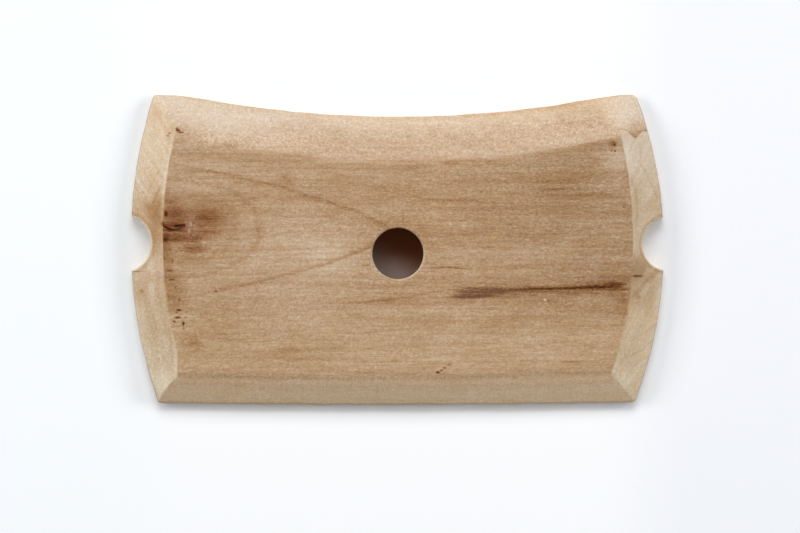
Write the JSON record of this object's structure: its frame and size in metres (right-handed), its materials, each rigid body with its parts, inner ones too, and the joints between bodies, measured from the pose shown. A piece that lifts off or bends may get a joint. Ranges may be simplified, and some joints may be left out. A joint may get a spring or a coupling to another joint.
{
  "type": "pottery rib",
  "caption": "Hardwood pottery rib: flat rounded block with a bevelled hollow edge, a bevelled near-straight edge, bowed notched ends and a centre hole, for shaping clay.",
  "frame": {"origin": "centre of the hole, on the flat back face", "axes": "+Z out of the bevelled front, square to the flat back; +Y from the hole towards the hollow edge; +X along the length, to the right as the front is looked at with the hollow edge up"},
  "size_m": [0.0998, 0.0587, 0.0064],
  "materials": {
    "hardwood": "bare sanded fine-grained hardwood, matt"
  },
  "bodies": {
    "root": {"rib": "hardwood"}
  },
  "joints": []
}
